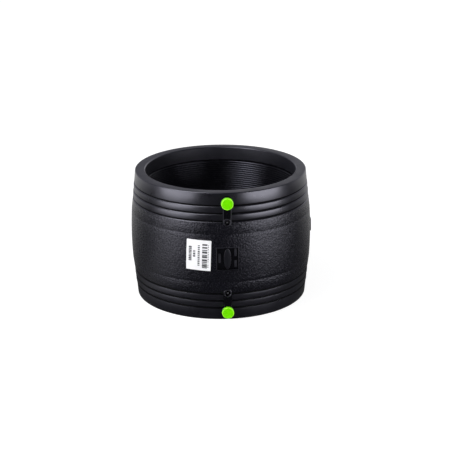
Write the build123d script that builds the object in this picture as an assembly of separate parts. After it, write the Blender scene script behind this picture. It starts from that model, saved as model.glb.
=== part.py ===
from build123d import *
import math
import os

# Electrofusion coupler for 250 mm polyethylene pipe. Millimetres.
# Origin on the bore axis at mid length, +Z along the pipe, terminals on the -Y side.

# Barrel
pipe_diameter = 250.0
socket_clearance = 0.6      # radial, between the pipe and the bore
half_length = 108.6
rim_wall = 18.4             # bore to the outside of the end face
rim_chamfer = 1.0
entry_relief = 1.2          # the unwound mouth is this much wider than the bore
entry_length = 22.6
mouth_chamfer = 1.4

# Outside of the barrel, from the end collar to the grained centre
collar_height = 22.5        # end face to the lip of the first groove
collar_flare = 1.8          # growth in radius along the collar
band_height = 12.65         # from one lip to the next
band_flare = 0.4
lip_steps = [0.9, 0.8, 0.6]     # growth in radius across each groove
last_band_height = 20.1
last_band_flare = 2.3
crown_height = 1.3          # growth from the edge of the grained centre to mid length
groove_width = 3.0
groove_floor = 1.0          # flat bottom of the groove, in the middle of its width
groove_depth = 1.7
lip_chamfer = 0.8
field_groove_width = 1.2
field_groove_depth = 0.5

# Windings
turn_count = 15
wire_pitch = 3.87
wire_coat = 3.2             # thickness of the coated wire, measured along the radius
ridge_depth = 0.7
ridge_flat = 0.35           # share of the pitch that is the flat top of a turn
link_radius = 1.3
link_angle = 180.0
lead_radius = 0.75
lead_reach = 3.2            # how far outside the winding the lead turns
lead_bend = 1.2
lead_inset = 4.0            # from the winding's outer end to where the lead leaves it

# Terminals, in the middle of the raised strips
terminal_inset = 15.4       # end face to the terminal's centre
boss_height = 4.6           # plane of the raised strip and boss above the collar
boss_radius = 10.2
shroud_radius = 8.8
shroud_height = 4.2
well_radius = 6.6
well_depth = 13.6           # from the shroud's end
pin_radius = 2.35
pin_recess = 1.1            # tip below the shroud's end
pin_tip_chamfer = 0.6
pin_shank_radius = 2.9      # moulded into the wall
pin_root_radius = 4.0
pin_root_length = 1.6
pin_root_depth = 5.0        # from the well's floor to the root's outer face

# Terminal caps
cap_radius = 9.8
cap_face = 1.5
cap_round = 1.6
cap_clearance = 0.08        # radial, skirt over shroud
seat_gap = 0.3              # skirt to boss, and cap to shroud end

# Fusion indicators
strip_length = 32.6         # terminal centre to indicator centre
indicator_well_radius = 4.6
indicator_well_depth = 8.0
indicator_rim_radius = 6.6
indicator_rim_height = 1.1
indicator_pin_radius = 1.7
indicator_clearance = 0.08
indicator_recess = 0.8
indicator_wall = 3.0        # left between the guide hole and the winding
indicator_float = 0.3       # free space under the pin

# Strip from boss to indicator
strip_half_width = 6.9
strip_edge = 0.8

# Marking panel and side pad
panel_width = 36.4
panel_height = 38.9
panel_corner = 1.5
panel_depth = 1.6
panel_frame_width = 0.9
panel_frame_height = 0.9
mark_height = 1.2           # raised shapes above the panel's floor
mark_width = 11.8
mark_length = 35.0
mark_middle = -0.8          # of the lozenge, above mid length
mark_column = 13.0          # middle of the outer columns, each side of the centre
bar_width = 3.6
bars = [(-1, 0.8, 15.5), (1, 10.2, 12.6), (1, -9.2, 11.5)]     # side, height, length
pad_width = 16.0
pad_height = 21.5
pad_z = 5.8
pad_angle = 88.0
pad_proud = 1.6
pad_corner = 2.0

# Label
label_width = 41.0
label_height = 51.6
label_angle = -17.8
label_z = 5.4
label_tilt = -2.0
label_corner = 1.0
label_thickness = 0.2
label_glue = 0.15           # adhesive, and the grain it fills, between the label and the wall

# Construction allowances, which leave no trace on the finished shape
weld_depth = 5.0            # how deep an added shape starts inside the wall
cutter_margin = 20.0        # how far a cutter runs past the surface

# Worked out from the sizes above
bore_radius = pipe_diameter / 2 + socket_clearance
entry_radius = bore_radius + entry_relief
seat_radius = bore_radius + wire_coat
rim_radius = bore_radius + rim_wall
collar_radius = rim_radius + collar_flare
winding_end = half_length - entry_length
cold_half = winding_end - turn_count * wire_pitch
boss_face = collar_radius + boss_height
shroud_end = boss_face + shroud_height
well_floor = shroud_end - well_depth
root_face = well_floor - pin_root_depth
terminal_z = half_length - terminal_inset
indicator_z = terminal_z - strip_length
indicator_floor = seat_radius + indicator_wall
lips = []                   # height and radius of each lip, with the radius of the band above it
band_end = collar_radius
for count, step in enumerate(lip_steps):
    lips.append((half_length - collar_height - count * band_height, band_end + step, band_end))
    band_end += step + band_flare
field_edge = lips[-1][0] - last_band_height
field_edge_radius = lips[-1][1] + last_band_flare
crown_radius = field_edge_radius + crown_height
reach = crown_radius + cutter_margin


def radial(z, angle=0.0):
    """A plane on the axis at height z whose normal points outwards at angle from -Y."""
    turn = math.radians(angle)
    outward = (math.sin(turn), -math.cos(turn), 0)
    across = (math.cos(turn), math.sin(turn), 0)
    return Plane(origin=(0, 0, z), x_dir=across, z_dir=outward)


def peg(radius, start, end, z):
    """A round peg along the radius of the barrel, between two distances from the axis."""
    return radial(z).offset(start) * extrude(Circle(radius), end - start)


def tube(inner, outer, height, z=0.0):
    ring = Circle(outer) - Circle(inner)
    return Pos(0, 0, z - height / 2) * extrude(ring, height)


def slab(outline, z, angle=0.0):
    """An outline drawn on the barrel's tangent plane, run from inside the wall to outside it."""
    return radial(z, angle).offset(seat_radius) * extrude(outline, reach - seat_radius)


def half_section():
    """The upper half of the barrel's outline, from the mouth round to mid length."""
    points = [
        (bore_radius, 0),
        (bore_radius, cold_half),
        (seat_radius, cold_half),
        (seat_radius, winding_end),
        (entry_radius, winding_end),
        (entry_radius, half_length - mouth_chamfer),
        (entry_radius + mouth_chamfer, half_length),
        (rim_radius - rim_chamfer, half_length),
        (rim_radius, half_length - rim_chamfer),
    ]
    for z, radius, above in lips:
        middle = z + groove_width / 2
        points += [
            (above, z + groove_width),
            (above - groove_depth, middle + groove_floor / 2),
            (above - groove_depth, middle - groove_floor / 2),
            (radius - lip_chamfer, z),
            (radius, z - lip_chamfer),
        ]
    points += [
        (field_edge_radius, field_edge + field_groove_width),
        (field_edge_radius - field_groove_depth, field_edge + field_groove_width),
        (field_edge_radius - field_groove_depth, field_edge),
        (field_edge_radius, field_edge),
    ]
    return points


def crown_arc(extra=0.0):
    """The crowned centre, moved outwards by extra."""
    edge = field_edge_radius + extra
    return ThreePointArc((edge, field_edge), (crown_radius + extra, 0), (edge, -field_edge))


def turned(outline):
    """A solid of revolution from edges drawn as (radius, height)."""
    return revolve(Plane.XZ * make_face(outline), Axis.Z)


def barrel():
    upper = half_section()
    lower = [(radius, -z) for radius, z in reversed(upper)]
    return turned([Polyline(*upper), crown_arc(), Polyline(*lower[:-1], upper[0])])


def winding(side):
    """The touching turns of coated wire as one ridged sleeve, flat outside."""
    valley = bore_radius + ridge_depth
    rise = wire_pitch * (1 - ridge_flat) / 2
    points = [(seat_radius, cold_half), (valley, cold_half)]
    for turn in range(turn_count):
        start = cold_half + turn * wire_pitch
        points += [
            (bore_radius, start + rise),
            (bore_radius, start + wire_pitch - rise),
            (valley, start + wire_pitch),
        ]
    points.append((seat_radius, winding_end))
    points = [(radius, side * z) for radius, z in points]
    return turned([Polyline(*points, points[0])])


def link_wire():
    place = radial(-cold_half, link_angle).offset(seat_radius - link_radius - 0.3)
    ends = Plane(origin=place.origin, x_dir=(1, 0, 0), z_dir=(0, 0, 1))
    return ends * extrude(Circle(link_radius), 2 * cold_half)


def lead_wire(side):
    start = winding_end - lead_inset
    turn = seat_radius + lead_reach
    corners = [(0, -seat_radius, start), (0, -turn, start), (0, -turn, terminal_z), (0, -root_face, terminal_z)]
    path = FilletPolyline(*[(x, y, side * z) for x, y, z in corners], radius=lead_bend)
    return sweep(radial(side * start).offset(seat_radius) * Circle(lead_radius), path=path)


def terminal_pin(side):
    z = side * terminal_z
    tip = shroud_end - pin_recess
    pin = peg(pin_radius, well_floor, tip, z) + peg(pin_shank_radius, root_face, well_floor, z)
    pin += peg(pin_root_radius, root_face, root_face + pin_root_length, z)
    end = pin.edges().filter_by(GeomType.CIRCLE).sort_by(Axis.Y)[0]
    return chamfer(end, pin_tip_chamfer)


def terminal_cap(side):
    z = side * terminal_z
    crown = shroud_end + seat_gap + cap_face
    cap = peg(cap_radius, boss_face + seat_gap, crown, z)
    end = cap.edges().filter_by(GeomType.CIRCLE).sort_by(Axis.Y)[0]
    cap = fillet(end, cap_round)
    hollow = peg(shroud_radius + cap_clearance, boss_face, shroud_end + seat_gap, z)
    return cap - hollow


def indicator_pin(side):
    start = indicator_floor + indicator_float
    return peg(indicator_pin_radius, start, boss_face - indicator_recess, side * indicator_z)


def terminal_boss(side):
    """Raised strip, round boss, shroud and indicator rim, before any holes."""
    length = terminal_z - indicator_z
    middle = side * (terminal_z + indicator_z) / 2
    outline = Rectangle(2 * strip_half_width, length)
    outline += Pos(0, -side * length / 2) * Circle(strip_half_width)
    outline += Pos(0, side * length / 2) * Circle(boss_radius)
    start = collar_radius - weld_depth
    strip = radial(middle).offset(start) * extrude(outline, boss_face - start)
    outer_edges = strip.faces().sort_by(Axis.Y)[0].edges()
    strip = chamfer(outer_edges, strip_edge)
    strip += peg(shroud_radius, boss_face, shroud_end, side * terminal_z)
    rim = peg(indicator_rim_radius, boss_face, boss_face + indicator_rim_height, side * indicator_z)
    return strip + rim


def terminal_holes(side):
    holes = peg(well_radius, well_floor, reach, side * terminal_z)
    guide = indicator_pin_radius + indicator_clearance
    holes += peg(guide, indicator_floor, reach, side * indicator_z)
    holes += peg(indicator_well_radius, boss_face - indicator_well_depth, reach, side * indicator_z)
    return holes


def marks():
    """Plain raised shapes on the panel's floor: a tall lozenge and short bars."""
    outline = Pos(0, mark_middle) * Ellipse(mark_width / 2, mark_length / 2)
    for place, height, length in bars:
        outline += Pos(place * mark_column, height) * RectangleRounded(bar_width, length, bar_width / 4)
    return outline


def panel_parts():
    floor = crown_radius - panel_depth
    outer = RectangleRounded(panel_width, panel_height, panel_corner)
    inset = 2 * panel_frame_width
    inner = RectangleRounded(panel_width - inset, panel_height - inset, panel_corner / 2)
    tall = panel_height + cutter_margin
    frame = slab(outer - inner, 0) & tube(floor - weld_depth, crown_radius + panel_frame_height, tall)
    pocket = slab(inner, 0) & tube(floor, reach, tall)
    raised = slab(marks(), 0) & tube(floor - weld_depth, floor + mark_height, tall)
    return frame, pocket, raised


def side_pad():
    outline = RectangleRounded(pad_width, pad_height, pad_corner)
    shell = tube(crown_radius - weld_depth, crown_radius + pad_proud, pad_height + cutter_margin, pad_z)
    return slab(outline, pad_z, pad_angle) & shell


def product_label():
    inner = crown_arc(label_glue)
    outer = crown_arc(label_glue + label_thickness)
    ends = [Line(inner @ 0, outer @ 0), Line(inner @ 1, outer @ 1)]
    shell = turned([inner, outer] + ends)
    outline = Rot(0, 0, label_tilt) * RectangleRounded(label_width, label_height, label_corner)
    return slab(outline, label_z, label_angle) & shell


def coupler_body(held):
    body = barrel()
    for side in (1, -1):
        body += terminal_boss(side)
        body -= terminal_holes(side)
    frame, pocket, raised = panel_parts()
    body = body + frame - pocket + raised
    body += side_pad()
    for piece in held:
        body -= piece
    return body


parts = {}
for name, side in (("upper", 1), ("lower", -1)):
    parts[name + "_winding"] = winding(side)
    parts[name + "_lead_wire"] = lead_wire(side)
    parts[name + "_terminal_pin"] = terminal_pin(side)
    parts[name + "_terminal_cap"] = terminal_cap(side)
    parts[name + "_indicator_pin"] = indicator_pin(side)
parts["link_wire"] = link_wire()
parts["product_label"] = product_label()
moulded_in = ("winding", "lead_wire", "terminal_pin", "link_wire")
parts["coupler_body"] = coupler_body([piece for name, piece in parts.items() if name.endswith(moulded_in)])

os.makedirs("parts", exist_ok=True)
for name, piece in parts.items():
    export_step(piece, os.path.join("parts", name + ".step"))
    print(name, round(piece.volume, 1))
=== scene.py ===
import math
import random

import bmesh
import bpy
from mathutils import Matrix, Vector


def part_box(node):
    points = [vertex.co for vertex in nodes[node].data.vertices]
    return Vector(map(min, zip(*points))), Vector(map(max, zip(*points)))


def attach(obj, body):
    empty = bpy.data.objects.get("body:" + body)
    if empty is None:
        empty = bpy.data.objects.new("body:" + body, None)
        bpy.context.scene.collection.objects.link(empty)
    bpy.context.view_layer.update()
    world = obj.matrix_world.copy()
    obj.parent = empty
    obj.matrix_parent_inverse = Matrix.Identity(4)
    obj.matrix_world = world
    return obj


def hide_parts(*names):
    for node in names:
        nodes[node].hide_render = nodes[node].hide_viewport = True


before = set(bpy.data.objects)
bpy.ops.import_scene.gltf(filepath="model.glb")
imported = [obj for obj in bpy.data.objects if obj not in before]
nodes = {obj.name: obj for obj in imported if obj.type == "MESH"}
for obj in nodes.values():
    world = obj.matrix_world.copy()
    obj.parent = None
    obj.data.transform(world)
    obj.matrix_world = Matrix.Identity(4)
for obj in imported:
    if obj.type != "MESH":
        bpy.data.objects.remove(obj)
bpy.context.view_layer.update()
mm = 0.001
scene = bpy.context.scene


def makeObject(name, bm, materials, closed=True):
    if closed:
        bmesh.ops.recalc_face_normals(bm, faces=bm.faces)
    mesh = bpy.data.meshes.new(name)
    bm.to_mesh(mesh)
    bm.free()
    for material in materials:
        mesh.materials.append(material)
    piece = bpy.data.objects.new(name, mesh)
    scene.collection.objects.link(piece)
    return piece


def smoothByAngle(piece, degrees):
    mesh = piece.data
    mesh.shade_smooth()
    mesh.set_sharp_from_angle(angle=math.radians(degrees))


def cornerAngle(vert):
    first, second = [(edge.other_vert(vert).co - vert.co) for edge in vert.link_edges]
    return math.pi - first.angle(second)


def roundCorners(bm, verts, offset, segments):
    bmesh.ops.bevel(bm, geom=verts, offset=offset, segments=segments, profile=0.5,
                    affect='VERTICES', material=-1, clamp_overlap=True)


def roundEdges(bm, edges, offset, segments):
    bmesh.ops.bevel(bm, geom=edges, offset=offset, segments=segments, profile=0.5,
                    affect='EDGES', material=-1, clamp_overlap=True)


def onlyVerts(geometry):
    return [item for item in geometry if isinstance(item, bmesh.types.BMVert)]


def profileLoop(bm, points, rounding=0.0, segments=3):
    # a closed outline in the XZ plane, its corners rounded
    verts = [bm.verts.new((radius, 0, height)) for radius, height in points]
    for start, end in zip(verts, verts[1:] + verts[:1]):
        bm.edges.new((start, end))
    if rounding:
        roundCorners(bm, [v for v in verts if cornerAngle(v) > math.radians(20)], rounding, segments)


def spinAround(bm, steps):
    bmesh.ops.spin(bm, geom=bm.verts[:] + bm.edges[:], cent=(0, 0, 0), axis=(0, 0, 1), dvec=(0, 0, 0),
                   angle=2 * math.pi, steps=steps, use_merge=True, use_duplicate=False)
    bmesh.ops.remove_doubles(bm, verts=bm.verts, dist=0.001 * mm)


def pointOutward(bm, height):
    # local +Z becomes the outward -Y direction, local +Y becomes up
    turn = Matrix.Translation((0, 0, height)) @ Matrix.Rotation(math.pi / 2, 4, 'X')
    bmesh.ops.transform(bm, matrix=turn, verts=bm.verts)


def turned(name, points, height, materials, rounding=0.0, steps=96, segments=3):
    # a solid of revolution whose axis points out of the barrel
    bm = bmesh.new()
    profileLoop(bm, points, rounding, segments)
    spinAround(bm, steps)
    pointOutward(bm, height)
    piece = makeObject(name, bm, materials)
    smoothByAngle(piece, 40)
    return piece


def combine(piece, other, operation):
    step = piece.modifiers.new("join", 'BOOLEAN')
    step.object = other
    step.operation = operation
    step.solver = 'EXACT'
    step.material_mode = 'INDEX'
    bpy.context.view_layer.update()
    joined = bpy.data.meshes.new_from_object(piece.evaluated_get(bpy.context.evaluated_depsgraph_get()))
    piece.modifiers.clear()
    old = piece.data
    piece.data = joined
    bpy.data.meshes.remove(old)
    bpy.data.objects.remove(other)


def oneSolid(pieces):
    for other in pieces[1:]:
        combine(pieces[0], other, 'UNION')
    return pieces[0]


def together(pieces):
    # pieces that don't touch, as one mesh, so that one boolean does for them all
    bm = bmesh.new()
    for piece in pieces:
        bm.from_mesh(piece.data)
    bm.to_mesh(pieces[0].data)
    bm.free()
    for piece in pieces[1:]:
        bpy.data.objects.remove(piece)
    return pieces[0]


# materials

def newMaterial(name, colour, roughness, specular=0.5):
    material = bpy.data.materials.new(name)
    material.use_nodes = True
    shader = material.node_tree.nodes["Principled BSDF"]
    shader.inputs["Base Color"].default_value = (*colour, 1)
    shader.inputs["Roughness"].default_value = roughness
    shader.inputs["Specular IOR Level"].default_value = specular
    return material, material.node_tree, shader


def addNode(tree, kind, links=(), **values):
    node = tree.nodes.new(kind)
    for name, value in values.items():
        if hasattr(node, name):
            setattr(node, name, value)
        else:
            node.inputs[name.replace("_", " ")].default_value = value
    for source, socket in links:
        tree.links.new(source, node.inputs[socket])
    return node


def objectPoint(tree):
    return tree.nodes.new("ShaderNodeTexCoord").outputs["Object"]


def maths(tree, operation, first, second):
    return addNode(tree, "ShaderNodeMath", [(first, 0), (second, 1)], operation=operation).outputs[0]


def choose(tree, factor, first, second):
    return addNode(tree, "ShaderNodeMixShader", [(factor, 0), (first, 1), (second, 2)]).outputs[0]


def noise(tree, point, scale, detail=2.0):
    return addNode(tree, "ShaderNodeTexNoise", [(point, "Vector")], Scale=scale, Detail=detail).outputs["Fac"]


def mapRange(tree, value, reach, result):
    return addNode(tree, "ShaderNodeMapRange", [(value, 0)], From_Min=reach[0], From_Max=reach[1],
                   To_Min=result[0], To_Max=result[1]).outputs[0]


noiseReach = (0.3, 0.7)         # nearly all of a noise lies between these


def varyRoughness(tree, shader, value, result):
    tree.links.new(mapRange(tree, value, noiseReach, result), shader.inputs["Roughness"])


def colourRamp(tree, value, reach, dark, light):
    ramp = addNode(tree, "ShaderNodeValToRGB", [(value, "Fac")])
    for element, position, colour in zip(ramp.color_ramp.elements, reach, (dark, light)):
        element.position = position
        element.color = (*colour, 1)
    return ramp.outputs[0]


def addBump(tree, shader, height, strength, distance):
    bump = addNode(tree, "ShaderNodeBump", [(height, "Height")], Strength=strength, Distance=distance)
    tree.links.new(bump.outputs[0], shader.inputs["Normal"])


black = (0.0030, 0.0030, 0.0048)
dusty = (0.0042, 0.0042, 0.0064)
sheen = (0.86, 0.85, 1.0)
finishes = {
    # colour and roughness are the finish's middle values. Over them lies a cloud of this scale and detail,
    # from dark to light in colour and over the spread in roughness. A bump has its scale, strength and depth,
    # and reflection is the tint of what the surface mirrors.
    "smoothPolyethylene": {
        "colour": black, "roughness": 0.32, "specular": 0.76, "reflection": sheen,
        "cloud": (40, 3), "dark": black, "light": dusty, "spread": (0.27, 0.34), "bump": (1200, 0.12, 0.1 * mm)},
    "grainedPolyethylene": {
        "colour": black, "roughness": 0.38, "specular": 0.38, "reflection": sheen,
        "cloud": (40, 3), "dark": black, "light": dusty,
        "grain": (430, 1.0, 0.95 * mm), "grainSpread": (0.08, 0.38)},
    "machinedPolyethylene": {
        "colour": (0.0085, 0.0085, 0.0115), "roughness": 0.5, "reflection": sheen,
        "cloud": (40, 3), "dark": dusty, "light": (0.0085, 0.0085, 0.0115), "spread": (0.46, 0.56),
        "marks": (1800, 0.25, 0.08 * mm)},
    "polishedPolyethylene": {       # the floor of the marking panel, the strips and the bosses
        "colour": black, "roughness": 0.1, "specular": 0.4, "reflection": sheen,
        "cloud": (40, 2), "dark": (0.0008, 0.0008, 0.0014), "light": (0.0014, 0.0014, 0.0022),
        "spread": (0.08, 0.14), "bump": (260, 0.1, 0.1 * mm)},
    "paintedShadePolyethylene": {         # painted shade: the bottoms of the grooves get a near-black, matt colour where shade falls
        "colour": (0.0012, 0.0012, 0.0020), "roughness": 0.6, "specular": 0.1,
        "cloud": (160, 2), "dark": (0.0008, 0.0008, 0.0014), "light": (0.0016, 0.0016, 0.0026),
        "spread": (0.55, 0.7)},
    "coatedWire": {
        "colour": (0.003, 0.003, 0.004), "roughness": 0.2, "reflection": (0.80, 0.80, 1.0),
        "cloud": (90, 3), "dark": (0.0025, 0.0025, 0.0035), "light": (0.0045, 0.0045, 0.0055),
        "spread": (0.16, 0.24), "bump": (300, 0.08, 0.1 * mm)},
    "greenCap": {
        "colour": (0.147, 0.71, 0.0), "roughness": 0.4, "specular": 0.03,
        "cloud": (160, 2), "dark": (0.136, 0.665, 0.0), "light": (0.161, 0.73, 0.0),
        "spread": (0.34, 0.44), "bump": (1400, 0.08, 0.06 * mm)},
    "greenCapPaintedHighlight": {               # a lighter green on the cap's rounded edge: a painted highlight where the rim catches the light
        "colour": (0.34, 0.92, 0.03), "roughness": 0.35, "specular": 0.2,
        "cloud": (200, 2), "dark": (0.31, 0.88, 0.025), "light": (0.38, 0.94, 0.04), "spread": (0.3, 0.4)},
    "contactBrass": {
        "colour": (0.62, 0.44, 0.18), "roughness": 0.24, "metallic": 1.0,
        "cloud": (500, 3), "dark": (0.62, 0.44, 0.18), "light": (0.74, 0.55, 0.26),
        "spread": (0.18, 0.32), "bump": (2600, 0.15, 0.03 * mm)},
    "bareCopper": {
        "colour": (0.62, 0.28, 0.14), "roughness": 0.30, "metallic": 1.0,
        "cloud": (500, 3), "dark": (0.62, 0.28, 0.14), "light": (0.72, 0.36, 0.20),
        "spread": (0.24, 0.38), "bump": (2600, 0.15, 0.03 * mm)},
    "indicatorGrey": {
        "colour": (0.030, 0.030, 0.035), "roughness": 0.30,
        "cloud": (300, 3), "dark": (0.030, 0.030, 0.035), "light": (0.055, 0.055, 0.060),
        "spread": (0.25, 0.35), "bump": (2400, 0.08, 0.05 * mm)},
    "labelFilm": {
        "colour": (0.79, 0.79, 0.81), "roughness": 0.42, "specular": 0.25,
        "cloud": (120, 3), "dark": (0.79, 0.79, 0.81), "light": (0.84, 0.84, 0.86),
        "spread": (0.37, 0.47), "bump": (960, 0.08, 0.05 * mm)},
    "labelInk": {
        "colour": (0.05, 0.05, 0.055), "roughness": 0.6, "specular": 0.2,
        "cloud": (900, 3), "dark": (0.05, 0.05, 0.055), "light": (0.09, 0.09, 0.10),
        "spread": (0.55, 0.65), "bump": (7200, 0.08, 0.05 * mm)},
}


def makeFinish(name):
    look = finishes[name]
    material, tree, shader = newMaterial(name, look["colour"], look["roughness"], look.get("specular", 0.5))
    shader.inputs["Metallic"].default_value = look.get("metallic", 0.0)
    shader.inputs["Specular Tint"].default_value = (*look.get("reflection", (1, 1, 1)), 1)
    point = objectPoint(tree)
    cloud = noise(tree, point, *look["cloud"])
    tree.links.new(colourRamp(tree, cloud, noiseReach, look["dark"], look["light"]), shader.inputs["Base Color"])
    if "spread" in look:
        varyRoughness(tree, shader, cloud, look["spread"])
    if "bump" in look:
        scale, strength, depth = look["bump"]
        addBump(tree, shader, noise(tree, point, scale), strength, depth)
    if "grain" in look:
        # spark-eroded mould finish: pebbly grain about two millimetres across, which sets the roughness too
        scale, strength, depth = look["grain"]
        grain = noise(tree, point, scale)
        varyRoughness(tree, shader, grain, look["grainSpread"])
        addBump(tree, shader, grain, strength, depth)
    if "marks" in look:
        # the tool's rings on the turned mouth and end faces, duller than the moulded skin
        scale, strength, depth = look["marks"]
        axes = addNode(tree, "ShaderNodeSeparateXYZ", [(point, 0)]).outputs
        squares = [maths(tree, 'MULTIPLY', axes[axis], axes[axis]) for axis in ("X", "Y")]
        radius = addNode(tree, "ShaderNodeMath", [(maths(tree, 'ADD', *squares), 0)], operation='SQRT').outputs[0]
        rings = addNode(tree, "ShaderNodeTexNoise", [(maths(tree, 'ADD', radius, axes["Z"]), "W")],
                        noise_dimensions='1D', Scale=scale).outputs["Fac"]
        addBump(tree, shader, rings, strength, depth)
    return material


skin = {"smooth": 0, "grained": 1, "machined": 2, "polished": 3, "paintedShade": 4}       # places in blacks
blacks = [makeFinish(kind + "Polyethylene") for kind in skin]
wireBlack = makeFinish("coatedWire")
capGreen = makeFinish("greenCap")
capEdgePaintedHighlight = makeFinish("greenCapPaintedHighlight")
brass = makeFinish("contactBrass")
copper = makeFinish("bareCopper")
indicatorGrey = makeFinish("indicatorGrey")
labelFilm = makeFinish("labelFilm")
labelInk = makeFinish("labelInk")
print("materials made")


# barrel

barrel = {
    "halfLength": 108.6 * mm,
    "boreRadius": 125.6 * mm,
    "mouthRadius": 126.8 * mm,
    "mouthChamfer": 1.4 * mm,
    "rimRadius": 144.0 * mm,
    "rimRounding": 1.0 * mm,
    "seatRadius": 128.8 * mm,
    "windingEnd": 86.0 * mm,
    "coldHalf": 27.95 * mm,
    "lips": [(86.1 * mm, 145.8 * mm, 146.7 * mm), (73.45 * mm, 147.1 * mm, 147.9 * mm),
             (60.8 * mm, 148.3 * mm, 148.9 * mm)],      # height, radius above and below
    "grooveWidth": 3.0 * mm,
    "grooveDepth": 1.7 * mm,
    "grooveSteps": 6,
    "grooveShape": 0.7,         # under 1 makes the groove's bottom flatter
    "lipChamfer": 0.8 * mm,
    "fieldEdge": 40.7 * mm,
    "fieldRadius": 151.2 * mm,
    "fieldGrooveWidth": 1.2 * mm,
    "fieldGrooveDepth": 0.5 * mm,
    "crownRadius": 152.5 * mm,
    "cornerRounding": 0.25 * mm,
    "steps": 288,
    "crownSteps": 7,
}


def surfaceRadius(height):
    edge, crown = barrel["fieldEdge"], barrel["crownRadius"]
    return crown - (crown - barrel["fieldRadius"]) * (height / edge) ** 2


def barrelOutline():
    b = barrel
    top = b["halfLength"]
    points = [(b["boreRadius"], b["coldHalf"]), (b["seatRadius"], b["coldHalf"]),
              (b["seatRadius"], b["windingEnd"]), (b["mouthRadius"], b["windingEnd"]),
              (b["mouthRadius"], top - b["mouthChamfer"]), (b["mouthRadius"] + b["mouthChamfer"], top),
              (b["rimRadius"] - b["rimRounding"], top), (b["rimRadius"], top - b["rimRounding"])]
    for height, above, below in b["lips"]:      # a round-bottomed groove, then the chamfered lip
        for step in range(b["grooveSteps"] + 1):
            share = step / b["grooveSteps"]
            start = above + share * (below - b["lipChamfer"] - above)
            sunk = b["grooveDepth"] * math.sin(math.pi * share) ** b["grooveShape"]
            points.append((start - sunk, height + b["grooveWidth"] * (1 - share)))
        points.append((below, height - b["lipChamfer"]))
    edge, grooveTop = b["fieldEdge"], b["fieldEdge"] + b["fieldGrooveWidth"]
    floor = b["fieldRadius"] - b["fieldGrooveDepth"]
    points += [(b["fieldRadius"], grooveTop), (floor, grooveTop), (floor, edge)]
    for step in range(b["crownSteps"]):
        height = edge * (1 - step / b["crownSteps"])
        points.append((surfaceRadius(height), height))
    lower = [(radius, -height) for radius, height in reversed(points)]
    return points + [(b["crownRadius"], 0)] + lower


def makeBarrel():
    b = barrel
    bm = bmesh.new()
    profileLoop(bm, barrelOutline())
    seen = [v for v in bm.verts if cornerAngle(v) > math.radians(20)
            and (v.co.x > b["seatRadius"] + 1 * mm or abs(v.co.z) > b["windingEnd"] + 1 * mm)]
    roundCorners(bm, seen, b["cornerRounding"], 2)
    spinAround(bm, b["steps"])
    grainStart = b["lips"][2][0] - 1 * mm
    for face in bm.faces:       # each face's finish, or the painted shade in the grooves, goes by where it lies
        middle = face.calc_center_median()
        radius = math.hypot(middle.x, middle.y)
        inField = abs(middle.z) < grainStart and radius > b["fieldRadius"] - 2.2 * mm
        inMouth = abs(middle.z) > b["windingEnd"] and radius < b["mouthRadius"] + 0.1 * mm
        onFace = abs(middle.z) > b["halfLength"] - 0.01 * mm
        # faces at the bottom of a groove get the painted shade, a near-black matt colour
        inShadedGroove = any(height + 0.2 * b["grooveWidth"] < abs(middle.z) < height + b["grooveWidth"]
                       for height, above, below in b["lips"]) and radius > b["seatRadius"] + 5 * mm
        kind = "paintedShade" if inShadedGroove else "grained" if inField else "machined" if inMouth or onFace else "smooth"
        face.material_index = skin[kind]
    return makeObject("coupler", bm, blacks)


couplerPiece = makeBarrel()
print("barrel turned")


# bosses, shrouds and indicator wells

boss = {
    "face": 150.4 * mm,
    "root": 141.5 * mm,         # start of the added shapes, inside the wall
    "radius": 10.2 * mm,
    "edge": 0.8 * mm,
    "slopeWidth": 1.5 * mm,     # of the strip's sloped sides
    "slopeHeight": 0.85 * mm,
    "shroudRadius": 8.8 * mm,
    "shroudEnd": 154.6 * mm,
    "wellRadius": 6.6 * mm,
    "wellFloor": 141.0 * mm,
    "wellFlare": 0.4 * mm,
    "rounding": 0.3 * mm,
    "stripHalfWidth": 6.9 * mm,
    "stripSegments": 64,
    "cutEnd": 160 * mm,
}
indicator = {
    "wellRadius": 4.6 * mm,
    "wellFloor": 142.4 * mm,
    "flare": 0.35 * mm,
    "rimRadius": 6.6 * mm,
    "rimEnd": 151.5 * mm,
    "rimRounding": 0.9 * mm,
    "guideRadius": 1.78 * mm,
    "guideFloor": 131.8 * mm,
}


def boxMiddle(node):
    low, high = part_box(node)
    return (low + high) / 2


def stripSolid(side, terminalHeight, indicatorHeight):
    # a stadium from the indicator to the terminal: half of a circle's verts are pulled along
    bm = bmesh.new()
    segments = boss["stripSegments"]
    bmesh.ops.create_circle(bm, cap_ends=True, radius=boss["stripHalfWidth"], segments=segments)
    bmesh.ops.rotate(bm, verts=bm.verts, matrix=Matrix.Rotation(math.pi / segments, 3, 'Z'))
    pulled = [v for v in bm.verts if v.co.y * side > 0]
    bmesh.ops.translate(bm, verts=pulled, vec=(0, terminalHeight - indicatorHeight, 0))
    bmesh.ops.translate(bm, verts=bm.verts, vec=(0, 0, boss["root"]))
    top = bmesh.ops.extrude_face_region(bm, geom=bm.faces[:])["geom"]
    bmesh.ops.translate(bm, verts=onlyVerts(top), vec=(0, 0, boss["face"] - boss["slopeHeight"] - boss["root"]))
    face = [item for item in top if isinstance(item, bmesh.types.BMFace)]
    bmesh.ops.recalc_face_normals(bm, faces=bm.faces)
    bmesh.ops.inset_region(bm, faces=face, thickness=boss["slopeWidth"], depth=boss["slopeHeight"],
                           use_even_offset=True)
    pointOutward(bm, indicatorHeight)
    return makeObject("strip", bm, blacks)


def bossSolid(height):
    radius, edge, shroud = boss["radius"], boss["edge"], boss["shroudRadius"]
    outline = [(0, boss["root"]), (radius, boss["root"]), (radius, boss["face"] - edge),
               (radius - edge, boss["face"]), (shroud, boss["face"]), (shroud, boss["shroudEnd"]),
               (0, boss["shroudEnd"])]
    return turned("boss", outline, height, blacks, boss["rounding"])


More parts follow.
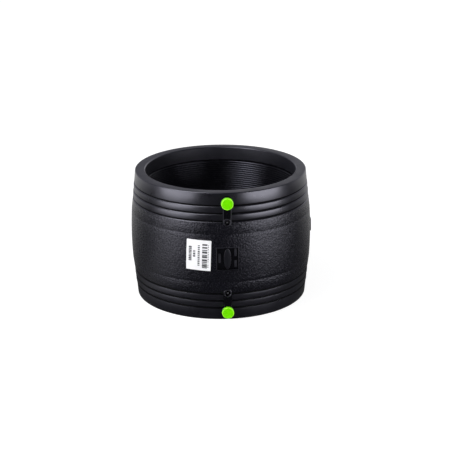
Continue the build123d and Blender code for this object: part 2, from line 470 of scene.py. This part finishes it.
def indicatorRim(height):
    i = indicator
    start = boss["face"] - 1 * mm
    outline = [(i["guideRadius"], start), (i["rimRadius"], start), (i["rimRadius"], i["rimEnd"]),
               (i["guideRadius"], i["rimEnd"])]
    return turned("rim", outline, height, blacks, i["rimRounding"])


def wellCutter(height):
    radius, flare, end = boss["wellRadius"], boss["wellFlare"], boss["shroudEnd"]
    outline = [(0, boss["wellFloor"]), (radius, boss["wellFloor"]), (radius, end - flare),
               (radius + 2 * flare, end + flare), (radius + 2 * flare, boss["cutEnd"]), (0, boss["cutEnd"])]
    return turned("wellCutter", outline, height, blacks)


def indicatorCutter(height):
    i = indicator
    radius, flare, end = i["wellRadius"], i["flare"], i["rimEnd"]
    outline = [(0, i["guideFloor"]), (i["guideRadius"], i["guideFloor"]), (i["guideRadius"], i["wellFloor"]),
               (radius, i["wellFloor"]), (radius, end - flare), (radius + 2 * flare, end + flare),
               (radius + 2 * flare, boss["cutEnd"]), (0, boss["cutEnd"])]
    return turned("indicatorCutter", outline, height, blacks)


terminalHeights = {}
indicatorHeights = {}
added = []
cutters = []
for name, side in (("upper", 1), ("lower", -1)):
    terminalHeights[name] = boxMiddle(name + "_terminal_cap").z
    indicatorHeights[name] = boxMiddle(name + "_indicator_pin").z
    parts = [stripSolid(side, terminalHeights[name], indicatorHeights[name]),
             bossSolid(terminalHeights[name]), indicatorRim(indicatorHeights[name])]
    for part, finish in zip(parts, ("polished", "polished", "machined")):
        for face in part.data.polygons:
            face.material_index = skin[finish]
    added.append(oneSolid(parts))
    cutters += [wellCutter(terminalHeights[name]), indicatorCutter(indicatorHeights[name])]
print("bosses and wells shaped")


# marking panel and side pad

panel = {
    "width": 36.4 * mm,
    "height": 38.9 * mm,
    "corner": 1.5 * mm,
    "depth": 1.6 * mm,
    "frameWidth": 0.9 * mm,
    "frameHeight": 0.9 * mm,
    "frameEdge": 0.6 * mm,
    "markHeight": 1.2 * mm,
    "lozenge": (11.8 * mm, 35.0 * mm, -0.8 * mm),       # width, height, middle
    "lozengeEdge": 0.5 * mm,
    "column": 13.0 * mm,
    "barWidth": 3.6 * mm,
    "barCorner": 0.8 * mm,
    "barEdge": 0.35 * mm,
    "bars": [(-1, 0.8 * mm, 15.5 * mm), (1, 10.2 * mm, 12.6 * mm), (1, -9.2 * mm, 11.5 * mm)],
    "root": 4.0 * mm,           # how far the added shapes reach into the wall
}
sidePad = {"width": 16.0 * mm, "height": 21.5 * mm, "middle": 5.8 * mm, "angle": 88.0, "proud": 1.6 * mm,
           "corner": 2.0 * mm, "edge": 0.7 * mm}


def wrapOnBarrel(bm, angle, height):
    # flat x becomes distance round the barrel, y height, z distance from its surface
    for v in bm.verts:
        x, y, proud = v.co
        turn = math.radians(angle) + x / barrel["crownRadius"]
        radius = surfaceRadius(height + y) + proud
        v.co = (radius * math.sin(turn), -radius * math.cos(turn), height + y)


def cutForBending(bm, width):
    cuts = 16
    for index in range(1, cuts):
        place = width * (index / cuts - 0.5)
        bmesh.ops.bisect_plane(bm, geom=bm.verts[:] + bm.edges[:] + bm.faces[:], dist=1e-7,
                               plane_co=(place, 0, 0), plane_no=(1, 0, 0))


def slab(width, height, low, high, corner, edge, place=(0, 0)):
    bm = bmesh.new()
    size = Matrix.Diagonal((width, height, high - low, 1))
    bmesh.ops.create_cube(bm, size=1, matrix=Matrix.Translation((*place, (low + high) / 2)) @ size)
    upright = [e for e in bm.edges if abs(e.verts[0].co.z - e.verts[1].co.z) > 0.1 * mm]
    if corner:
        roundEdges(bm, upright, corner, 4)
    if edge:
        roundEdges(bm, [e for e in bm.edges if all(v.co.z > high - 0.01 * mm for v in e.verts)], edge, 3)
    cutForBending(bm, 2 * (width / 2 + abs(place[0])))
    return bm


def wrapped(name, bm, angle=0.0, height=0.0, finish="smooth"):
    wrapOnBarrel(bm, angle, height)
    bmesh.ops.recalc_face_normals(bm, faces=bm.faces)
    for face in bm.faces:
        face.material_index = skin[finish]
    piece = makeObject(name, bm, blacks)
    smoothByAngle(piece, 30)
    return piece


def lozenge():
    width, height, middle = panel["lozenge"]
    low, high = -panel["root"], panel["markHeight"] - panel["depth"]
    bm = bmesh.new()
    bmesh.ops.create_circle(bm, cap_ends=True, radius=0.5, segments=48)
    place = Matrix.Translation((0, middle, low)) @ Matrix.Diagonal((width, height, 1, 1))
    bmesh.ops.transform(bm, matrix=place, verts=bm.verts)
    top = bmesh.ops.extrude_face_region(bm, geom=bm.faces[:])["geom"]
    bmesh.ops.translate(bm, verts=onlyVerts(top), vec=(0, 0, high - low))
    rim = [e for e in bm.edges if all(v.co.z > high - 0.01 * mm for v in e.verts)]
    roundEdges(bm, rim, panel["lozengeEdge"], 3)
    cutForBending(bm, width)
    return bm


width, height, root = panel["width"], panel["height"], panel["root"]
frameSlab = slab(width, height, -root, panel["frameHeight"], panel["corner"], panel["frameEdge"])
inner = 2 * panel["frameWidth"]
pocket = slab(width - inner, height - inner, -panel["depth"], 2 * root, panel["corner"] / 2, 0)
padSlab = slab(sidePad["width"], sidePad["height"], -root, sidePad["proud"], sidePad["corner"], sidePad["edge"])
added += [wrapped("panelFrame", frameSlab, finish="machined"),
          wrapped("sidePad", padSlab, sidePad["angle"], sidePad["middle"])]
cutters.append(wrapped("pocket", pocket, finish="polished"))
combine(couplerPiece, together(added), 'UNION')
combine(couplerPiece, together(cutters), 'DIFFERENCE')
raised = [wrapped("lozenge", lozenge())]
for side, middle, length in panel["bars"]:      # left or right of the lozenge
    bar = slab(panel["barWidth"], length, -root, panel["markHeight"] - panel["depth"], panel["barCorner"],
               panel["barEdge"], (side * panel["column"], middle))
    raised.append(wrapped("bar", bar, finish="machined"))
combine(couplerPiece, together(raised), 'UNION')
smoothByAngle(couplerPiece, 32)
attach(couplerPiece, "coupler")
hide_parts("coupler_body")
print("coupler body made", len(couplerPiece.data.polygons))


# windings

winding = {
    "turns": 15,                # pitches in the length of the winding, which hold one full turn fewer
    "pitch": 3.87 * mm,
    "ridge": 1.2 * mm,
    "shoulder": 0.1 * mm,       # flat side below the half round
    "thickness": 2.2 * mm,
    "gap": 0.03 * mm,
    "stepsPerTurn": 120,
    "arcPoints": 7,
    "linerInner": 127.7 * mm,       # a thin sleeve behind the turns
    "linerSteps": 192,
}


def wireOutline():
    # one turn of coated wire: flat outside, half round towards the bore
    w = winding
    half = w["pitch"] / 2 - w["gap"]
    bore = barrel["boreRadius"]
    shoulder = bore + w["ridge"] + w["shoulder"]
    points = [(bore + w["thickness"], -half), (shoulder, -half)]
    for index in range(w["arcPoints"]):
        angle = math.pi * (index / (w["arcPoints"] - 1) - 0.5)
        points.append((bore + w["ridge"] * (1 - math.cos(angle)), half * math.sin(angle)))
    points += [(shoulder, half), (bore + w["thickness"], half)]
    return points


def makeWinding(side):
    w, b = winding, barrel
    bm = bmesh.new()
    profileLoop(bm, wireOutline())
    bmesh.ops.translate(bm, verts=bm.verts, vec=(0, 0, b["coldHalf"] + w["pitch"] / 2))
    steps = w["stepsPerTurn"]
    bmesh.ops.spin(bm, geom=bm.verts[:] + bm.edges[:], cent=(0, 0, 0), axis=(0, 0, 1),
                   dvec=(0, 0, w["pitch"] / steps), angle=2 * math.pi, steps=steps, use_duplicate=False)
    oneTurn = bm.verts[:] + bm.edges[:] + bm.faces[:]
    for turn in range(1, w["turns"] - 1):       # the coil is one turn repeated a pitch higher each time
        copy = bmesh.ops.duplicate(bm, geom=oneTurn)["geom"]
        bmesh.ops.translate(bm, verts=onlyVerts(copy), vec=(0, 0, turn * w["pitch"]))
    bmesh.ops.remove_doubles(bm, verts=bm.verts, dist=0.005 * mm)
    bmesh.ops.holes_fill(bm, edges=[e for e in bm.edges if e.is_boundary], sides=0)
    liner = bmesh.new()
    profileLoop(liner, [(w["linerInner"], b["coldHalf"]), (b["seatRadius"], b["coldHalf"]),
                        (b["seatRadius"], b["windingEnd"]), (w["linerInner"], b["windingEnd"])])
    spinAround(liner, w["linerSteps"])
    linerMesh = bpy.data.meshes.new("liner")
    liner.to_mesh(linerMesh)
    liner.free()
    bm.from_mesh(linerMesh)
    bpy.data.meshes.remove(linerMesh)
    if side < 0:
        bmesh.ops.rotate(bm, verts=bm.verts, matrix=Matrix.Rotation(math.pi, 3, 'Y'))
    piece = makeObject("windingTurns" + ("Upper" if side > 0 else "Lower"), bm, [wireBlack])
    smoothByAngle(piece, 50)
    return piece


for name, side in (("upper", 1), ("lower", -1)):
    piece = makeWinding(side)
    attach(piece, "coupler")
    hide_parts(name + "_winding")
print("windings wound")


# terminal pins, caps and indicator pins

cap = {
    "radius": 9.8 * mm,
    "start": 150.7 * mm,
    "end": 156.4 * mm,
    "rounding": 1.6 * mm,
    "paintedHighlightWidth": 1.4 * mm,
    "hollowRadius": 8.88 * mm,
    "hollowEnd": 154.9 * mm,
    "lip": 0.25 * mm,
    "dish": 0.35 * mm,
    "dishRadius": 6.6 * mm,
    "steps": 128,
}
pin = {"radius": 2.35 * mm, "shankRadius": 2.85 * mm, "floor": 141.0 * mm, "tip": 153.5 * mm, "chamfer": 0.6 * mm,
       "root": 137.0 * mm, "rounding": 0.12 * mm}
indicatorPin = {"radius": 1.7 * mm, "start": 132.1 * mm, "end": 149.6 * mm, "rounding": 0.7 * mm}


def makeCap(name, height):
    c = cap
    outline = [(c["hollowRadius"], c["start"]), (c["radius"], c["start"]), (c["radius"], c["end"]),
               (c["dishRadius"], c["end"]), (c["dishRadius"] - c["dish"], c["end"] - c["dish"]),
               (0, c["end"] - c["dish"]), (0, c["hollowEnd"]), (c["hollowRadius"], c["hollowEnd"])]
    bm = bmesh.new()
    profileLoop(bm, outline)
    outer = [v for v in bm.verts if v.co.x > c["radius"] - 0.01 * mm and v.co.z > c["end"] - 0.01 * mm]
    roundCorners(bm, outer, c["rounding"], 8)
    small = [v for v in bm.verts if v.co.x > 1 * mm and cornerAngle(v) > math.radians(40)]
    roundCorners(bm, small, c["lip"], 3)
    spinAround(bm, c["steps"])
    pointOutward(bm, height)
    for face in bm.faces:
        middle = face.calc_center_median()
        # the outer band of the cap's face takes the lighter green, a painted highlight on the rounded rim
        nearRim = math.hypot(middle.x, middle.z - height) > c["radius"] - c["paintedHighlightWidth"]
        face.material_index = 1 if nearRim and -middle.y > c["end"] - c["rounding"] else 0
    piece = makeObject(name, bm, [capGreen, capEdgePaintedHighlight])
    smoothByAngle(piece, 50)
    return piece


def makePin(name, height):
    p = pin
    outline = [(0, p["root"]), (p["shankRadius"], p["root"]), (p["shankRadius"], p["floor"]),
               (p["radius"], p["floor"]), (p["radius"], p["tip"] - p["chamfer"]),
               (p["radius"] - p["chamfer"], p["tip"]), (0, p["tip"])]
    return turned(name, outline, height, [brass], p["rounding"], steps=64)


def makeIndicatorPin(name, height):
    p = indicatorPin
    outline = [(0, p["start"]), (p["radius"], p["start"]), (p["radius"], p["end"]), (0, p["end"])]
    return turned(name, outline, height, [indicatorGrey], p["rounding"], steps=48, segments=6)


for name in ("upper", "lower"):
    title = name.capitalize()
    piece = makeCap("terminalCap" + title, terminalHeights[name])
    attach(piece, name + "_cap")
    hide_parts(name + "_terminal_cap")
    piece = makePin("terminalPin" + title, terminalHeights[name])
    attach(piece, "coupler")
    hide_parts(name + "_terminal_pin")
    piece = makeIndicatorPin("indicatorPin" + title, indicatorHeights[name])
    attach(piece, name + "_indicator")
    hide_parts(name + "_indicator_pin")
print("caps and pins made")


# label

label = {
    "width": 41.0 * mm,
    "height": 51.6 * mm,
    "angle": -17.8,
    "middle": 5.4 * mm,
    "tilt": -2.0,
    "corner": 1.0 * mm,
    "thickness": 0.2 * mm,
    "gap": 0.15 * mm,
    "inkLift": 0.02 * mm,
    "seed": 7,
    "columns": [        # of dashes, in millimetres: x, width, start, end, dash, space
        (-14.0, 5.0, -10.5, 15.0, 2.4, 0.7),
        (-7.2, 3.8, -3.5, 7.8, 2.0, 1.1),
        (0.4, 3.4, -18.0, 17.0, 2.2, 1.1),
        (16.0, 1.6, -20.0, 20.0, 1.1, 1.5),
    ],
    "bars": (10.2, 8.4, -21.5, 21.0),       # x, width, start, end
    "barThickness": (1.2, 1.8, 2.8, 3.6),
    "barSpace": (0.5, 0.7, 1.0, 2.0),
}


def onLabel(bm):
    # lays flat label coordinates on the barrel, tilted about the label's middle
    tilt = Matrix.Rotation(math.radians(label["tilt"]), 3, 'Z')
    for v in bm.verts:
        flat = tilt @ Vector((v.co.x, v.co.y, 0))
        v.co.x, v.co.y = flat.x, flat.y
    wrapOnBarrel(bm, label["angle"], label["middle"])


def makeLabel():
    w, h = label["width"], label["height"]
    bm = bmesh.new()
    bmesh.ops.create_grid(bm, x_segments=22, y_segments=18, size=0.5,
                          matrix=Matrix.Diagonal((w, h, 1, 1)))
    corners = [v for v in bm.verts if abs(v.co.x) > w / 2 - 0.01 * mm and abs(v.co.y) > h / 2 - 0.01 * mm]
    roundCorners(bm, corners, label["corner"], 3)
    top = bmesh.ops.extrude_face_region(bm, geom=bm.faces[:])["geom"]
    bmesh.ops.translate(bm, verts=bm.verts, vec=(0, 0, label["gap"]))
    bmesh.ops.translate(bm, verts=onlyVerts(top), vec=(0, 0, label["thickness"]))
    onLabel(bm)
    piece = makeObject("label", bm, [labelFilm])
    smoothByAngle(piece, 40)
    return piece


def printedBars():
    # plain bars and dashes where a label has its code and its lines of print
    random.seed(label["seed"])
    bars = []
    for x, width, start, end, dash, space in label["columns"]:
        y = start
        while y < end:
            length = min(dash * random.uniform(0.6, 1.5), end - y)
            bars.append((x, y + length / 2, width, length))
            y += length + space * random.uniform(0.8, 1.3)
    x, width, y, end = label["bars"]
    while y < end:
        thick = random.choice(label["barThickness"])
        bars.append((x, y + thick / 2, width, thick))
        y += thick + random.choice(label["barSpace"])
    return bars


def makePrint():
    bm = bmesh.new()
    lift = label["gap"] + label["thickness"] + label["inkLift"]
    for x, y, width, height in printedBars():
        size = Matrix.Diagonal((width * mm, height * mm, 1, 1))
        bmesh.ops.create_grid(bm, x_segments=3, y_segments=1, size=0.5,
                              matrix=Matrix.Translation((x * mm, y * mm, lift)) @ size)
    onLabel(bm)
    for face in bm.faces:
        face.normal_update()
        middle = face.calc_center_median()
        if face.normal.dot(Vector((middle.x, middle.y, 0))) < 0:
            face.normal_flip()
    return makeObject("labelPrint", bm, [labelInk], closed=False)


piece = makeLabel()
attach(piece, "coupler")
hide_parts("product_label")
piece = makePrint()
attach(piece, "coupler")
print("label made")

for name in ("link_wire", "upper_lead_wire", "lower_lead_wire"):
    nodes[name].data.materials.clear()
    nodes[name].data.materials.append(copper)


# floor, lights and camera

studio = {
    "floorSize": 12.0,
    "floorColour": (0.80, 0.80, 0.80),
    "floorGlow": (0.86, 1.0),       # what the camera sees of the floor besides its lit colour, near and far
    "glowReach": (0.16, 0.60),
    "faint": (0.35, 0.35, 0.35),        # how much of the lamps' light and shadow the camera sees on the floor
    "mirrorReach": (0.05, 0.9),         # along Y, over which the mirrored floor goes from dark to white
    "mirrorShade": (0.08, 1.0),
    "fill": (0.15, 0.15, 0.16),         # soft light from all round
    "roomShade": (0.015, 0.015, 0.020),     # what a glossy side facing the room reflects
    "wallShade": (0.50, 0.50, 0.55),        # and the far wall
    "roomReach": (-0.3, 0.8),
    "pools": [          # light on the floor before each softbox: azimuth, distance, radius, strength
        (-58, 0.84, 0.50, 3.2),
        (56, 0.86, 0.52, 3.2),
        (-62, 0.34, 0.25, 0.70),
    ],
    "lights": [         # azimuth from the camera, elevation, distance, width, height, radiance
        ("leftSoftbox", -55, 9, 0.95, 0.78, 0.49, 4.9),
        ("rightSoftbox", 53, 7, 0.95, 0.83, 0.45, 5.2),
        ("overheadSoftbox", -64, 60, 0.75, 0.32, 0.46, 8.0),
        ("rearPanel", 158, 24, 1.1, 0.8, 0.8, 0.4),
    ],
}
view = {
    "turn": 3.90,               # the camera stands this far round towards -X
    "distance": 2320.4 * mm,
    "height": 798.1 * mm,
    "target": (13.75 * mm, -1.006 * mm, -1.50 * mm),
    "roll": -0.391,
    "lens": 112.70,
    "sensor": 36.0,
}


def anyRay(tree, names):
    # 1 where the ray is one of these kinds
    rays = tree.nodes.new("ShaderNodeLightPath")
    value = rays.outputs[names[0]]
    for name in names[1:]:
        value = maths(tree, 'MAXIMUM', value, rays.outputs[name])
    return value


mirrorRays = ["Is Glossy Ray", "Is Transmission Ray"]


def around(azimuth, distance, height):
    # a place at this angle round the object, counted from the camera's side
    angle = math.radians(azimuth - view["turn"])
    return (distance * math.sin(angle), -distance * math.cos(angle), height)


def makeFloor():
    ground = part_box("coupler_body")[0].z
    bm = bmesh.new()
    bmesh.ops.create_grid(bm, x_segments=1, y_segments=1, size=studio["floorSize"] / 2,
                          matrix=Matrix.Translation((0, 0, ground)))
    material, tree, shader = newMaterial("paleFloor", studio["floorColour"], roughness=0.7, specular=0.2)
    # the paper runs from white behind the object to the dark of the room in front of it
    point = objectPoint(tree)
    depth = addNode(tree, "ShaderNodeSeparateXYZ", [(point, 0)]).outputs["Y"]
    bright = mapRange(tree, depth, studio["mirrorReach"], studio["mirrorShade"])
    for azimuth, distance, radius, strength in studio["pools"]:
        away = addNode(tree, "ShaderNodeVectorMath", [(point, 0)], operation='DISTANCE')
        away.inputs[1].default_value = around(azimuth, distance, ground)
        pool = addNode(tree, "ShaderNodeMapRange", [(away.outputs["Value"], 0)], interpolation_type='SMOOTHSTEP',
                       From_Min=0.0, From_Max=radius, To_Min=strength, To_Max=0.0).outputs[0]
        bright = maths(tree, 'MAXIMUM', bright, pool)
    mirrored = addNode(tree, "ShaderNodeEmission", [(bright, "Strength")], Color=(1, 1, 1, 1)).outputs[0]
    reach = addNode(tree, "ShaderNodeVectorMath", [(point, 0)], operation='LENGTH').outputs["Value"]
    whiter = mapRange(tree, reach, studio["glowReach"], studio["floorGlow"])
    glow = addNode(tree, "ShaderNodeEmission", [(whiter, "Strength")], Color=(1, 1, 1, 1)).outputs[0]
    faint = addNode(tree, "ShaderNodeBsdfDiffuse", Color=(*studio["faint"], 1)).outputs[0]
    seen = addNode(tree, "ShaderNodeAddShader", [(glow, 0), (faint, 1)]).outputs[0]
    paper = choose(tree, anyRay(tree, mirrorRays), shader.outputs[0], mirrored)
    paper = choose(tree, anyRay(tree, ["Is Camera Ray"]), paper, seen)
    tree.links.new(paper, tree.nodes["Material Output"].inputs["Surface"])
    floor = makeObject("floor", bm, [material], closed=False)


def pointAt(thing, target, roll=0.0):
    direction = (Vector(target) - thing.location).normalized()
    turn = direction.to_track_quat('-Z', 'Y')
    thing.rotation_mode = 'QUATERNION'
    thing.rotation_quaternion = turn @ Matrix.Rotation(roll, 4, 'Z').to_quaternion()


def makeLight(name, azimuth, elevation, distance, width, height, radiance):
    data = bpy.data.lights.new(name, 'AREA')
    data.shape = 'RECTANGLE'
    data.size, data.size_y = width, height
    data.energy = radiance * math.pi * width * height
    lamp = bpy.data.objects.new(name, data)
    scene.collection.objects.link(lamp)
    rise = math.radians(elevation)
    lamp.location = around(azimuth, distance * math.cos(rise), distance * math.sin(rise))
    pointAt(lamp, (0, 0, 0))


def makeWorld():
    world = bpy.data.worlds.new("studio")
    scene.world = world
    world.use_nodes = True
    tree = world.node_tree
    fill = tree.nodes["Background"]
    fill.inputs["Color"].default_value = (*studio["fill"], 1)
    direction = tree.nodes.new("ShaderNodeTexCoord").outputs["Generated"]
    depth = addNode(tree, "ShaderNodeSeparateXYZ", [(direction, 0)]).outputs["Y"]
    depth = mapRange(tree, depth, studio["roomReach"], (0.0, 1.0))
    shade = colourRamp(tree, depth, (0.0, 1.0), studio["roomShade"], studio["wallShade"])
    room = addNode(tree, "ShaderNodeBackground", [(shade, "Color")], Strength=1.0)
    white = addNode(tree, "ShaderNodeBackground", Color=(1, 1, 1, 1), Strength=1.0)
    look = choose(tree, anyRay(tree, mirrorRays), fill.outputs[0], room.outputs[0])
    look = choose(tree, anyRay(tree, ["Is Camera Ray"]), look, white.outputs[0])
    tree.links.new(look, tree.nodes["World Output"].inputs["Surface"])


makeFloor()
makeWorld()
for light in studio["lights"]:
    makeLight(*light)

camera = bpy.data.objects.new("camera", bpy.data.cameras.new("camera"))
scene.collection.objects.link(camera)
scene.camera = camera
camera.data.lens = view["lens"]
camera.data.sensor_width = view["sensor"]
camera.location = around(0, view["distance"], view["height"])
pointAt(camera, view["target"], math.radians(view["roll"]))
scene.view_settings.view_transform = 'Standard'
print("studio set")
